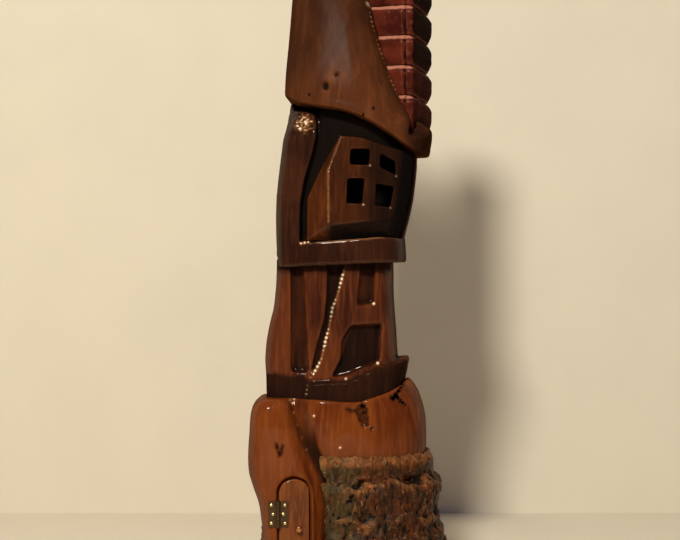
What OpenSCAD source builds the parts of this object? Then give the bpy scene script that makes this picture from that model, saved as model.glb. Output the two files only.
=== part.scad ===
// A carved wooden tower house: a bark-skirted stump with a hinged door, two
// storeys, a leaning roof and a brick chimney. Front is -Y, up is +Z.

/* [Stump] */
// Height of the stump at its tall right shoulder
stump_h = 92; // [90:1:94]
// Front plane of the flat around the doorway, forward of the centre
front_flat = 34.4; // [34:0.1:34.8]
// How far the bark stands out of the stump at the foot
bark_foot = 8; // [6:0.5:9]

/* [Door] */
// Width of the door
door_w = 12.9; // [12:0.1:13.5]
// Height of the door from its foot to the top of the arch
door_h = 42.5; // [40:0.5:44]
// Thickness of the door
door_t = 3; // [2.6:0.1:3.2]
// Gap around the door
door_gap = 0.8; // [0.7:0.05:0.9]
// Height of the doorway's threshold
sill_z = 8; // [7:0.5:9]
// Depth of the chamber behind the door
chamber_d = 22; // [16:1:24]

/* [Hinges] */
// Height of each hinge
hinge_h = 11; // [10:0.5:12]
// Width of one hinge leaf from the pin's axis
leaf_w = 4.4; // [4:0.1:4.6]
// Thickness of a hinge leaf
leaf_t = 0.5; // [0.4:0.05:0.55]
// Radius of the hinge's knuckles
knuckle_r = 0.95; // [0.9:0.05:1]
// Radius of the hinge's pin
pin_r = 0.4; // [0.35:0.05:0.45]

/* [Storeys] */
// Depth of the carved recesses in the lower storey
lower_relief = 3.2; // [2.5:0.1:3.6]
// Depth of the carved recess around the window
upper_relief = 4.6; // [4:0.1:5]
// Radius of the hidden dowels
dowel_r = 4; // [3.5:0.1:4.5]

/* [Chimney] */
// Number of brick courses
courses = 6; // [6:1:6]
// Height of a brick course
course_h = 13.4; // [13:0.1:13.8]
// Width of the chimney
chimney_w = 27; // [25:0.5:28]
// Depth of the chimney
chimney_d = 28; // [26:0.5:29]

/* [Hidden] */
$fn = 48;

LIGHT_WOOD = [0.50, 0.24, 0.09];
DARK_WOOD = [0.27, 0.12, 0.06];
ROOF_WOOD = [0.36, 0.17, 0.08];
BARK = [0.25, 0.17, 0.10];
BRICK = [0.42, 0.12, 0.08];
BRONZE = [0.16, 0.12, 0.08];
BRASS = [0.80, 0.62, 0.25];

far = 120;          // reach of a cutter past the object
facets = 40;        // sides of a carved block
fit = 0.05;         // clearance of a running or glued fit
dowel_gap = 0.15;   // clearance of a dowel in its hole

door_x = -23.75;    // middle of the door
arch_h = 5.8;       // rise of the door's arch
rebate = 1.2;       // width of the stop that the door closes against
stop_gap = 0.3;     // clearance between the shut door and its stop
door_left = door_x - door_w / 2;
axis_x = door_left - door_gap / 2;
axis_y = -front_flat - knuckle_r - 0.1;
hinge_upper_z = 35.6;
hinge_lower_z = 18;
nail_head_r = 0.75;
nail_head_h = 0.45;
nail_shank_r = 0.3;
nail_shank = 2.4;
nail_far = 2.9;     // distance of the outer nails from the pin
nail_near = 2.15;   // distance of the middle nail from the pin
nail_rise = 3.9;    // height of the outer nails from the hinge's middle
knob_x = -21.6;
knob_z = 29.3;

chimney_turn = -22;
chimney_at = [21.4, 7.4, 203];
core_r = 2.5;       // radius of the dowel through the chimney
brick_tilt = 0.1;   // fall of the courses from the chimney's front to its back
course_lift = 1;    // rise of the first course's head over its own height
storey_foot = 76;
storey_top = 146;
storey_axis = [-6, 0];
roof_axis = [-6, 0];

// ---- outlines, each point [x, z] -------------------------------------------
stump_top = [
    [-60, 83.8], [-38, 84.2], [-26, 84.7], [-14, 84.2], [-3, 83.4], [3, 83.2], [8, 84.6],
    [13.5, 86.2], [18, 88.2], [22, 90.2], [26, stump_h], [60, stump_h + 1]
];
groove_left = [[-25.6, 94], [-24.3, 83.5], [-21.7, 73.3], [-18.7, 66], [-17, 60], [-14.5, 51.6],
    [-12.4, 44.3],
    [-11.9, 37], [-11.9, -1]];
groove_right = [[-9, -1], [-8.8, 37], [-10.4, 50], [-12, 60], [-14.6, 67.3], [-16, 73.3], [-18.5, 84],
    [-19, 94]];
sill_top = [[-60, 60], [-19.2, 74], [-17.4, 91], [-1, 91.8], [6, 95], [13, 98.6], [27.5, 101.8], [60, 104]];
ledge_under = [[-60, 140], [-32, 141.4], [26, 144], [60, 145.5]];
ledge_top = [[-60, 151], [-20, 152.4], [2, 153.8], [14, 154.8], [26, 154.2], [60, 153]];
eave = [
    [-60, 219], [-28.4, 217.8], [-25.7, 215.2], [-22, 213.4], [-13, 211.5], [-4, 210.2],
    [2.7, 207.9], [9.5, 204.6], [16.2, 200.4], [23, 195.8], [28.4, 192.4], [36, 191.4], [60, 190]
];

lower_recesses = [
    [[-25.5, 144], [-20.3, 144], [-17.8, 96], [-25.2, 96]],
    [[-9.6, 144], [-1.6, 144], [-5.4, 128.6], [-7.6, 123.8], [-9, 115.6], [-10.8, 109], [-12.4, 101.6],
        [-15, 95.4], [-16.4, 97], [-13.6, 109.5], [-11.1, 118], [-9.4, 130.5]],
    [[5.2, 144.5], [11.2, 144.5], [10.6, 126], [3.4, 124.8]],
    [[0.9, 116], [14.2, 116.8], [13, 100.4], [-1.2, 94.4], [-8, 93.4], [-3.6, 101], [-3.2, 109.8]]
];
rear_recesses = [
    [[-23, 137], [-12, 137], [-15, 98], [-26, 98]],
    [[-8, 137], [6, 137], [4, 121], [-10, 121]],
    [[-10, 116], [4, 116], [2, 98], [-12, 98]],
    [[10, 137], [15.5, 137], [15.5, 101], [7, 99]]
];
window_recess = [
    [-11.5, 222], [-12.3, 207.4], [-15.8, 192.2], [-19.4, 180], [-21.3, 168.7], [-21.6, 152.3],
    [2, 153.7], [14, 154.7], [26, 154.1], [60, 152.9], [60, 222]
];
rear_recess = [[-18, 206], [-21, 160], [16, 160], [19, 193]];
panel_face = [
    [-3.6, 198.6], [5.5, 197.6], [13.4, 195], [20, 192.2], [44, 184], [44, 167], [21.5, 164],
    [6.8, 161.8], [-9, 160], [-9.2, 183.7], [-6.2, 191.5]
];
panel_foot = [
    [-4.4, 199.4], [5.8, 198.6], [14, 196], [20.8, 193.2], [45, 185], [45, 154.2], [14, 154.4],
    [-18.6, 153], [-18.2, 171.8], [-13.7, 182.1]
];
panes = [
    [[0.5, 193], [8.9, 193], [8.5, 186.1], [0.4, 186.3]],
    [[13.4, 191], [19.9, 187.6], [20.1, 181.6], [13.3, 185.2]],
    [[-0.8, 180.2], [6.5, 180.2], [5.6, 169.2], [-1.2, 169.5]],
    [[11.6, 178], [19.3, 176.6], [17.6, 167.8], [11.2, 168.4]]
];
room_outline = [[-3.2, 166], [20.7, 166], [20.7, 189], [13.4, 192.6], [9, 194.5], [-3.2, 194.5]];

// ---- levels of the carved blocks, each [z, left, right, front, back] --------
log_levels = [
    [0, -37, 37, -32, 32.5], [20, -37, 35.6, -31.5, 32], [40, -37, 34.4, -31, 31.5],
    [58, -37.5, 34.3, -31, 31.5],
    [66, -38, 34.8, -31, 31.5], [74, -38, 34.5, -30.9, 31.2], [80, -37.6, 33.4, -30.6, 30.9],
    [86, -36, 31.4, -29.8, 30],
    [90, -33.5, 29, -29, 28.8], [93.5, -29, 26, -27.6, 27], [97, -25, 23, -25, 25]
];
lobe_levels = [
    [0, -39.3, -11.8, -36, 20], [9, -38, -11.8, -36, 20], [19, -37.2, -11.8, -36, 20],
    [30, -38.4, -11.8, -36, 20],
    [38, -39.5, -11.8, -36, 20], [44, -41.9, -12.2, -36, 20], [51, -44.2, -14.2, -36, 21],
    [58, -44.6, -16.2, -35.8, 22],
    [66, -44.4, -18.4, -35.4, 22], [73, -44, -21.3, -34.8, 21], [78, -43.4, -22.8, -34, 19],
    [81.6, -42.2, -23.6, -32.8, 17],
    [83.4, -40.4, -24, -31.4, 15], [85.6, -37.2, -24.4, -29.4, 13]
];
bark_levels = [
    [0, -41, 37.8 + bark_foot, -32 - bark_foot, 32 + bark_foot], [18, -40.5, 43.8, -39, 39],
    [25, -40, 43.2, -38.4, 38.6],
    [27.6, -39.5, 40.4, -36.6, 36.8], [34, -39.6, 41, -36.8, 37], [44, -40, 41.6, -36.8, 37],
    [48, -40, 40.6, -36, 36.6],
    [50.4, -39, 38.4, -34.4, 35], [56, -39, 37.8, -34, 34.6], [58.6, -38.8, 36.2, -33, 33.6],
    [60, -38.2, 34.8, -31.6, 32]
];
lower_levels = [
    [storey_foot, -36.4, 22.6, -25, 25], [94, -36.9, 22.4, -25, 25], [101, -37.3, 22.1, -24.8, 24.8],
    [109, -36.7, 21.8, -24.4, 24.4], [115.7, -35.5, 21.3, -24, 24], [122.4, -33.8, 20.8, -23.7, 23.7],
    [127, -33.1, 20.5, -23.5, 23.5], [134, -32.4, 20.3, -23.4, 23.4], [storey_top, -32.1, 20.3, -23.4, 23.4]
];
sill_levels = [
    [storey_foot, -36.6, 24.8, -27, 26.4], [90, -37, 25.4, -27, 26.4], [97, -37.4, 27, -27, 26.4],
    [106, -37.4, 28.3, -27, 26.4]
];
upper_levels = [
    [138, -31.6, 23.4, -26, 25], [148, -31.9, 23.8, -26, 25], [155, -32.3, 25.2, -26.2, 25.3],
    [163, -32.5, 27.4, -26.8, 26],
    [172, -32.3, 29.3, -27.2, 26.4], [181, -31.5, 30.4, -27.4, 26.6], [188, -30.7, 31, -27.4, 26.6],
    [195, -29.8, 31, -27.2, 26.4], [204, -28.4, 30.2, -26.8, 26], [220, -26, 26.6, -26, 25]
];
ledge_levels = [
    [138, -31.7, 25.8, -28.6, 26.8], [147, -32.1, 26.1, -28.8, 27], [158, -32.4, 25.4, -28.2, 26.6]
];
post_levels = [
    [138, -31.7, 25.8, -28.6, 26.8], [147, -32.1, 26.1, -28.8, 27], [156, -32.4, 25.8, -28.3, 26.6],
    [165, -32.5, 26.5, -27.5, 26.4], [174, -32.3, 27.7, -27.1, 26.4]
];
roof_levels = [
    [186, -28.8, 35.6, -31.5, 30], [199, -28.8, 37.8, -32, 30.5], [203, -28.8, 37.8, -32, 30.5],
    [206, -28.7, 33, -31.8, 30.2],
    [209, -28.7, 28.4, -31.4, 30], [215, -28.5, 25, -30.6, 29.4], [220, -28.4, 22.4, -30, 28.6],
    [228, -28, 19, -28.6, 27.6],
    [239, -27, 15.4, -26.6, 26], [249, -26.2, 12.8, -24.6, 24.2], [262, -25.3, 9.6, -21.6, 21.6],
    [274, -24.2, 5.4, -18.4, 18.8],
    [285, -22.9, 0.2, -14.6, 15.6], [294, -21.4, -4.8, -10.8, 12.4], [301, -19.6, -9, -7.4, 9.4],
    [306, -18, -12, -4.6, 6.6],
    [309, -16.6, -14.2, -2, 3.6]
];

// ---- shared shapes ----------------------------------------------------------
// A rounded square of radius 1, made squarer by n and turned, then fitted to a 2 by 2 box.
function unit_ring(n, turn, sides) =
    let (
        raw = [
            for (i = [0 : sides - 1])
                let (
                    a = 360 * (i + 0.5) / sides,
                    x = sign(cos(a)) * pow(abs(cos(a)), 2 / n),
                    y = sign(sin(a)) * pow(abs(sin(a)), 2 / n)
                )
                [x * cos(turn) - y * sin(turn), x * sin(turn) + y * cos(turn)]
        ],
        wide = max([for (p = raw) p[0]]),
        deep = max([for (p = raw) p[1]])
    )
    [for (p = raw) [p[0] / wide, p[1] / deep]];

// A ring of the block at one level, with extra cut off every side, falling by tilt to the back.
function level_ring(level, ring, inset, tilt = 0) =
    let (
        middle = [(level[1] + level[2]) / 2, (level[3] + level[4]) / 2],
        half = [(level[2] - level[1]) / 2 - inset, (level[4] - level[3]) / 2 - inset]
    )
    [
        for (p = ring)
            let (x = middle[0] + half[0] * p[0], y = middle[1] + half[1] * p[1])
            [x, y, level[0] - tilt * y]
    ];

// A closed block through the levels.
module carved_block(levels, n = 3, turn = -20, inset = 0, sides = facets, tilt = 0) {
    ring = unit_ring(n, turn, sides);
    count = len(levels);
    rings = [for (level = levels) level_ring(level, ring, inset, tilt)];
    points = [for (r = rings, p = r) p];
    walls = [
        for (k = [0 : count - 2], i = [0 : sides - 1])
            let (j = (i + 1) % sides, a = k * sides + i, b = k * sides + j, c = b + sides, d = a + sides)
            each [[a, c, b], [a, d, c]]
    ];
    foot = [for (i = [0 : sides - 1]) i];
    head = [for (i = [sides - 1 : -1 : 0]) (count - 1) * sides + i];
    polyhedron(points, concat([foot], walls, [head]));
}

// An outline in x and z, cut through the object from y = from to y = to.
module through(outline, from = -far, to = far) {
    translate([0, to, 0])
        rotate([90, 0, 0])
            linear_extrude(to - from)
                polygon(outline);
}

// Everything above or below a line of [x, z] points.
module above(line) {
    through(concat(line, [[60, 400], [-60, 400]]));
}

module below(line) {
    through(concat(line, [[60, -far], [-60, -far]]));
}

module ground_cut() {
    translate([-far, -far, -far])
        cube([2 * far, 2 * far, far]);
}

// The door's outline, taken in or let out by grow: upright sides under an arch.
function door_outline(grow, foot) =
    let (half = door_w / 2 + grow, spring = sill_z + door_h - arch_h)
    concat(
        [[door_x - half, foot], [door_x + half, foot]],
        [for (a = [0 : 10 : 180]) [door_x + half * cos(a), spring + (arch_h + grow) * sin(a)]]
    );

module dowel(at, from, to, r) {
    translate([at[0], at[1], from])
        cylinder(h = to - from, r = r);
}

// ---- stump and bark ---------------------------------------------------------
module log_block() {
    carved_block(log_levels, n = 2.5, turn = 0);
}

module lobe_block() {
    carved_block(lobe_levels, n = 3.4, turn = 0);
}

module doorway() {
    door_back = front_flat - door_t - stop_gap;
    through(door_outline(door_gap, sill_z - door_gap), -far, -door_back);
    through(door_outline(-rebate, sill_z), -far, -front_flat + chamber_d);
}

module lower_wall() {
    carved_block(lower_levels, n = 4, turn = -4);
}

module lower_sill() {
    difference() {
        carved_block(sill_levels, n = 4, turn = -4);
        above(sill_top);
    }
}

module stump_base() {
    color(LIGHT_WOOD)
        difference() {
            union() {
                log_block();
                lobe_block();
            }
            ground_cut();
            above(stump_top);
            through(concat(groove_left, groove_right), -far, -28.6);
            translate([-far, -far - front_flat, -far])
                cube([2 * far, far, 3 * far]);
            doorway();
            lower_wall();
            lower_sill();
            dowel(storey_axis, storey_foot - 16, storey_foot + 1, dowel_r + dowel_gap);
        }
}

module bark_skirt() {
    color(BARK)
        difference() {
            carved_block(bark_levels, n = 2.5, turn = 0);
            ground_cut();
            log_block();
            lobe_block();
            through([[-60, -1], [-10.9, -1], [-10.8, 37], [-11.9, 50], [-13.4, 61], [-60, 61]], -far, 4);
        }
}

// ---- storeys ----------------------------------------------------------------
module lower_storey() {
    color(DARK_WOOD)
        difference() {
            union() {
                lower_wall();
                lower_sill();
            }
            difference() {
                union() {
                    for (outline = lower_recesses)
                        through(outline, -far, -8);
                    for (outline = rear_recesses)
                        through(outline, 8, far);
                }
                carved_block(lower_levels, n = 4, turn = -4, inset = lower_relief);
                lower_sill();
            }
            dowel(storey_axis, storey_foot - 1, storey_foot + 14, dowel_r + dowel_gap);
            dowel(storey_axis, storey_top - 14, storey_top + 1, dowel_r + dowel_gap);
        }
}

module upper_wall() {
    carved_block(upper_levels, n = 3.8, turn = -5);
}

module upper_core() {
    carved_block(upper_levels, n = 3.8, turn = -5, inset = upper_relief);
}

// The foot of the left post, which runs out over the ledge.
module post_foot() {
    intersection() {
        carved_block(post_levels, n = 4, turn = -5);
        through([[-60, 130], [-21.6, 130], [-21.6, 152.3], [-21.3, 168.7], [-20.4, 176], [-60, 176]],
            -far, -4);
    }
}

module floor_ledge() {
    difference() {
        carved_block(ledge_levels, n = 4, turn = -5);
        above(ledge_top);
    }
}

// The room behind the window, from y = from back to its rear wall.
module room(from) {
    through(room_outline, from, 4);
}

module upper_storey() {
    color(DARK_WOOD)
        difference() {
            union() {
                upper_wall();
                floor_ledge();
                post_foot();
            }
            below(ledge_under);
            above(eave);
            difference() {
                union() {
                    through(window_recess, -far, -6);
                    through(rear_recess, 6, far);
                }
                upper_core();
                floor_ledge();
            }
            room(-28);
            lower_wall();
            chimney_shaft(fit);
            dowel(storey_axis, storey_top - 1, storey_top + 14, dowel_r + dowel_gap);
            dowel(roof_axis, 196.5, 222, dowel_r + dowel_gap);
            dowel(chimney_at, chimney_at[2] - 9, chimney_at[2] + 1, core_r + dowel_gap);
        }
}

module window_panel() {
    color(LIGHT_WOOD)
        difference() {
            intersection() {
                hull() {
                    through(panel_face, -26.4, -20);
                    through(panel_foot, -22, -16);
                }
                upper_wall();
                through(window_recess);
            }
            upper_core();
            floor_ledge();
            above(eave);
            for (outline = panes)
                through(outline);
            room(-21.6);
        }
}

// ---- roof and chimney -------------------------------------------------------
module chimney_shaft(extra) {
    translate(chimney_at)
        rotate([0, 0, chimney_turn])
            translate([-chimney_w / 2 - extra, -chimney_d / 2 - extra, 0])
                cube([chimney_w + 2 * extra, chimney_d + 2 * extra, far]);
}

// What is cut off the top of the roof's low right end, in front of the chimney.
module slab_slope() {
    translate([26, -8.5, 202.8])
        rotate([12, 8, 0])
            translate([0, -60, 0])
                cube([40, 60, 7]);
}

module roof() {
    color(ROOF_WOOD)
        difference() {
            carved_block(roof_levels, n = 3.4, turn = -7, sides = 48);
            below(eave);
            slab_slope();
            chimney_shaft(fit);
            dowel(roof_axis, 190, 232, dowel_r + dowel_gap);
            dowel(chimney_at, chimney_at[2] - 9, chimney_at[2] + 1, core_r + dowel_gap);
        }
}

// One course of bricks: a block that bulges between its bevels, with upright joints.
module brick_course(k) {
    foot = course_lift + course_h * (k - 1);
    hw = chimney_w / 2;
    hd = chimney_d / 2;
    bed = k == 1 ? -course_lift - 2 : 0;
    bulge = [[bed, 1.7], [4.6, 0.1], [10.2, 0], [12.6, 1.5], [course_h, 2.7]];
    levels = [for (b = bulge) [foot + b[0], -hw + b[1], hw - b[1], -hd + b[1], hd - b[1]]];
    shift = k % 2 == 0 ? -5 : 5;
    color(BRICK)
        translate(chimney_at)
            rotate([0, 0, chimney_turn])
                difference() {
                    carved_block(levels, n = 9, turn = 0, sides = 24, tilt = brick_tilt);
                    for (x = [hw - 5, -shift - 3])
                        translate([x, -hd - 1, foot - 4])
                            cube([0.7, 2, course_h + 8]);
                    for (x = [-shift, shift + 3])
                        translate([x, hd - 1, foot - 4])
                            cube([0.7, 2, course_h + 8]);
                    for (y = [-shift])
                        translate([hw - 1, y, foot - 4])
                            cube([2, 0.7, course_h + 8]);
                    for (y = [shift])
                        translate([-hw - 1, y, foot - 4])
                            cube([2, 0.7, course_h + 8]);
                    dowel([0, 0], foot - 4, foot + course_h + 2, core_r + dowel_gap);
                    ground_cut();
                }
}

module chimney_cap() {
    hw = chimney_w / 2;
    hd = chimney_d / 2;
    top = course_lift + course_h * courses;
    profile = [[0, 1.2], [1.8, -1.2], [5, -1.4], [6.4, 0]];
    levels = [for (b = profile) [top + b[0], -hw + b[1], hw - b[1], -hd + b[1], hd - b[1]]];
    color(BRICK)
        translate(chimney_at)
            rotate([0, 0, chimney_turn])
                difference() {
                    carved_block(levels, n = 9, turn = 0, sides = 24, tilt = brick_tilt);
                    translate([-5.5, -5.5, top + 3])
                        cube([11, 11, 10]);
                    dowel([0, 0], top - 2, top + 2.2, core_r + dowel_gap);
                }
}

module chimney_dowel() {
    color(LIGHT_WOOD)
        dowel(chimney_at, chimney_at[2] - 8.8, chimney_at[2] + course_lift + course_h * courses + 2, core_r);
}

// ---- door and hinges --------------------------------------------------------
module door() {
    color(LIGHT_WOOD)
        difference() {
            through(door_outline(0, sill_z), -front_flat, -front_flat + door_t);
            translate([knob_x, -front_flat - 1, knob_z])
                rotate([-90, 0, 0])
                    cylinder(h = 3.2, r = 0.6 + fit / 2);
        }
}

module door_knob() {
    color(BRASS)
        translate([knob_x, -front_flat, knob_z])
            rotate([90, 0, 0])
                rotate_extrude()
                    polygon([[0, -2], [0.6, -2], [0.6, 0], [1.05, 0.02], [1.05, 0.35], [0.6, 0.6],
                    [0.6, 1.2],
                        [1.15, 1.6], [1.35, 2.1], [1.2, 2.6], [0.7, 2.95], [0, 3.05]]);
}

// side is -1 for the frame's leaf and 1 for the door's.
module hinge_leaf(z, side) {
    knuckle = hinge_h / 3;
    plate_gap = 0.15;
    barrel_gap = 0.06;
    spans = side < 0 ? [[-hinge_h / 2, knuckle],
    [hinge_h / 2 - knuckle, knuckle]] : [[-knuckle / 2, knuckle]];
    color(BRONZE)
        translate([axis_x, axis_y, z])
            difference() {
                union() {
                    translate([side < 0 ? -leaf_w : plate_gap, -axis_y - front_flat - leaf_t, -hinge_h / 2])
                        cube([leaf_w - plate_gap, leaf_t, hinge_h]);
                    for (s = spans)
                        translate([0, 0, s[0] + barrel_gap])
                            cylinder(h = s[1] - 2 * barrel_gap, r = knuckle_r);
                }
                for (s = side < 0 ? [[-knuckle / 2, knuckle]] :
                    [[-hinge_h / 2 - 1, knuckle + 1], [hinge_h / 2 - knuckle, knuckle + 1]])
                    translate([0, 0, s[0] - barrel_gap])
                        cylinder(h = s[1] + 2 * barrel_gap, r = knuckle_r + 0.2);
                translate([0, 0, -hinge_h])
                    cylinder(h = 2 * hinge_h, r = pin_r + fit);
                for (p = nail_spots(side))
                    translate([p[0], -axis_y - front_flat - 1, p[1]])
                        rotate([-90, 0, 0])
                            cylinder(h = 2, r = nail_shank_r + fit);
            }
}

module hinge_pin(z) {
    head = 0.35;
    color(BRONZE)
        translate([axis_x, axis_y, z - hinge_h / 2]) {
            cylinder(h = hinge_h, r = pin_r);
            translate([0, 0, hinge_h])
                cylinder(h = head, r = knuckle_r - 0.1);
            translate([0, 0, -head])
                cylinder(h = head, r = knuckle_r - 0.1);
        }
}

// The three nails of one leaf, [x, z] from the middle of the hinge.
function nail_spots(side) = [
    [side * nail_far, nail_rise], [side * nail_near, 0], [side * nail_far, -nail_rise]
];

// A domed nail, driven in along +Y.
module nail() {
    rotate([90, 0, 0])
        rotate_extrude()
            polygon(concat(
                [[0, -nail_shank], [nail_shank_r, -nail_shank + 0.5], [nail_shank_r, 0]],
                [for (a = [0 : 15 : 90]) [nail_head_r * cos(a), nail_head_h * sin(a)]]
            ));
}

module hinge_nails(side) {
    color(BRASS)
        for (z = [hinge_upper_z, hinge_lower_z], p = nail_spots(side))
            translate([axis_x + p[0], -front_flat - leaf_t, z + p[1]])
                nail();
}

stump_base();
bark_skirt();
lower_storey();
upper_storey();
window_panel();
roof();
for (k = [1 : courses])
    brick_course(k);
chimney_cap();
chimney_dowel();
color(LIGHT_WOOD) dowel(storey_axis, storey_foot - 15.5, storey_foot + 13.5, dowel_r);  // stump_dowel
color(LIGHT_WOOD) dowel(storey_axis, storey_top - 13.5, storey_top + 13.5, dowel_r);  // storey_dowel
color(LIGHT_WOOD) dowel(roof_axis, 197, 231.5, dowel_r);  // roof_dowel
door();
door_knob();
hinge_leaf(hinge_upper_z, -1);  // hinge_upper_frame_leaf
hinge_leaf(hinge_upper_z, 1);  // hinge_upper_door_leaf
hinge_pin(hinge_upper_z);  // hinge_upper_pin
hinge_leaf(hinge_lower_z, -1);  // hinge_lower_frame_leaf
hinge_leaf(hinge_lower_z, 1);  // hinge_lower_door_leaf
hinge_pin(hinge_lower_z);  // hinge_lower_pin
hinge_nails(-1);  // frame_nails
hinge_nails(1);  // door_nails
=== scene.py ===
"""Looks for the carved wooden tower house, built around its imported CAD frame.

Each wooden block is read from its CAD node as a field of distances, carved with tool marks, cracks,
bark and brick wear, and turned back into a mesh. Lengths are in mm until a mesh is made.
"""

import math
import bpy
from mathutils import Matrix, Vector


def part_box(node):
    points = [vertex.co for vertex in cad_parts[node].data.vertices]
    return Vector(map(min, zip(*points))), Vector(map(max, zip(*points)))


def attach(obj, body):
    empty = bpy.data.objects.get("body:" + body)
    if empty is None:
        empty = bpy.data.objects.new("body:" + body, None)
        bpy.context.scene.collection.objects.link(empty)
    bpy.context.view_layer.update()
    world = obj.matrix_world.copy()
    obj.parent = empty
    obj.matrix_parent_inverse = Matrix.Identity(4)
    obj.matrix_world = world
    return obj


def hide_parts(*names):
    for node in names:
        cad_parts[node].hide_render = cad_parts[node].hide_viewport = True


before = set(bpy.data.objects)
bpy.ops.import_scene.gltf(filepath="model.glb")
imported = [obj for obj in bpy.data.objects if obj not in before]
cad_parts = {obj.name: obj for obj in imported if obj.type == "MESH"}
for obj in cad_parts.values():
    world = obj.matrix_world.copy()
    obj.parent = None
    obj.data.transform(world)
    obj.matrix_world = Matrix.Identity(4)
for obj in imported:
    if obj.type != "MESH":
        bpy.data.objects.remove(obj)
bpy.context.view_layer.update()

from concurrent.futures import ThreadPoolExecutor

import bpy
import numpy as np
import openvdb
from mathutils import Vector

MM = 0.001
HOUSE = "house"
DOOR = "door"


# ---- noise ---------------------------------------------------------------------------------
LATTICE = 32            # corners along each side of the lattice, before the noise repeats
BATCH = 40000           # about how many points are worked on at a time
RIPPLE_GAIN = 1.7       # brings the ripple's range near -1 to 1
FAR = 9.0               # a start for distances, larger than any that matters
random = np.random.default_rng(11)
slopes = random.normal(size=(LATTICE, LATTICE, LATTICE, 3)).astype(np.float32)
slopes /= np.linalg.norm(slopes, axis=-1, keepdims=True)
scatter = random.random(size=(LATTICE, LATTICE, LATTICE, 3)).astype(np.float32)


def lattice_place(points, size, seed):
    """Points in units of the noise's size: the corner below each, and the place past it."""
    shift = np.array([17.3, 5.9, 11.7], np.float32) * (seed + 1)
    place = points / np.asarray(size, np.float32) + shift
    corner = np.floor(place).astype(np.int32)
    return corner, (place - corner).astype(np.float32)


def ripple(points, size, seed=0):
    """Smooth noise of about -1 to 1. size is the distance between lumps, or one for each axis."""
    corner, part = lattice_place(points, size, seed)
    fade = part * part * part * (part * (part * 6 - 15) + 10)
    total = np.zeros(len(points), np.float32)
    for step in np.ndindex(2, 2, 2):
        at = (corner + step) % LATTICE
        slope = slopes[at[:, 0], at[:, 1], at[:, 2]]
        weight = np.prod(np.where(step, fade, 1 - fade), axis=1)
        total += weight * np.sum((part - step) * slope, axis=1)
    return total * RIPPLE_GAIN


def rough(points, size, seed=0, layers=3):
    """Noise with finer and weaker layers on top of each other."""
    size = np.asarray(size, np.float32)
    total = np.zeros(len(points), np.float32)
    for k in range(layers):
        total += ripple(points, size / 2 ** k, seed + 5 * k) / 2 ** k
    return total


def plates(points, size, seed=0):
    """Broken-up cells: the distance to the nearest gap between two, and a number for each cell."""
    corner, part = lattice_place(points, size, seed)
    nearest = np.full(len(points), FAR, np.float32)
    second = nearest.copy()
    name = np.zeros(len(points), np.float32)
    for step in np.ndindex(3, 3, 3):
        step = np.array(step) - 1
        at = (corner + step) % LATTICE
        seedling = scatter[at[:, 0], at[:, 1], at[:, 2]]
        away = np.linalg.norm(seedling + step - part, axis=1)
        closer = away < nearest
        second = np.where(closer, nearest, np.minimum(second, away))
        name = np.where(closer, seedling[:, 0], name)
        nearest = np.where(closer, away, nearest)
    return second - nearest, name


def in_batches(task, points):
    """Runs task on the points in batches, side by side."""
    batches = np.array_split(points, max(1, len(points) // BATCH))
    with ThreadPoolExecutor(4) as pool:
        return np.concatenate(list(pool.map(task, batches)))


def smooth_step(value, low, high):
    """0 up to low, 1 from high on, and a smooth rise between them."""
    t = np.clip((value - low) / (high - low), 0, 1)
    return t * t * (3 - 2 * t)


def along(points, path):
    """How far each point's x and z lie from a drawn path, and how far along it, in mm."""
    flat = points[:, [0, 2]]
    best = np.full(len(points), 1e6, np.float32)
    run = np.zeros(len(points), np.float32)
    done = 0.0
    for a, b in zip(path[:-1], path[1:]):
        a, b = np.array(a, np.float32), np.array(b, np.float32)
        length = float(np.linalg.norm(b - a))
        t = np.clip(((flat - a) @ (b - a)) / length ** 2, 0, 1)
        away = np.linalg.norm(flat - (a + t[:, None] * (b - a)), axis=1)
        run = np.where(away < best, done + t * length, run)
        best = np.minimum(best, away)
        done += length
    return best, run


# ---- carving -------------------------------------------------------------------------------
EDGE_SPAN = 0.8         # radius in mm over which a ridge or crease is felt
DIP_SPAN = 2.2          # radius in mm over which a recess is felt


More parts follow.
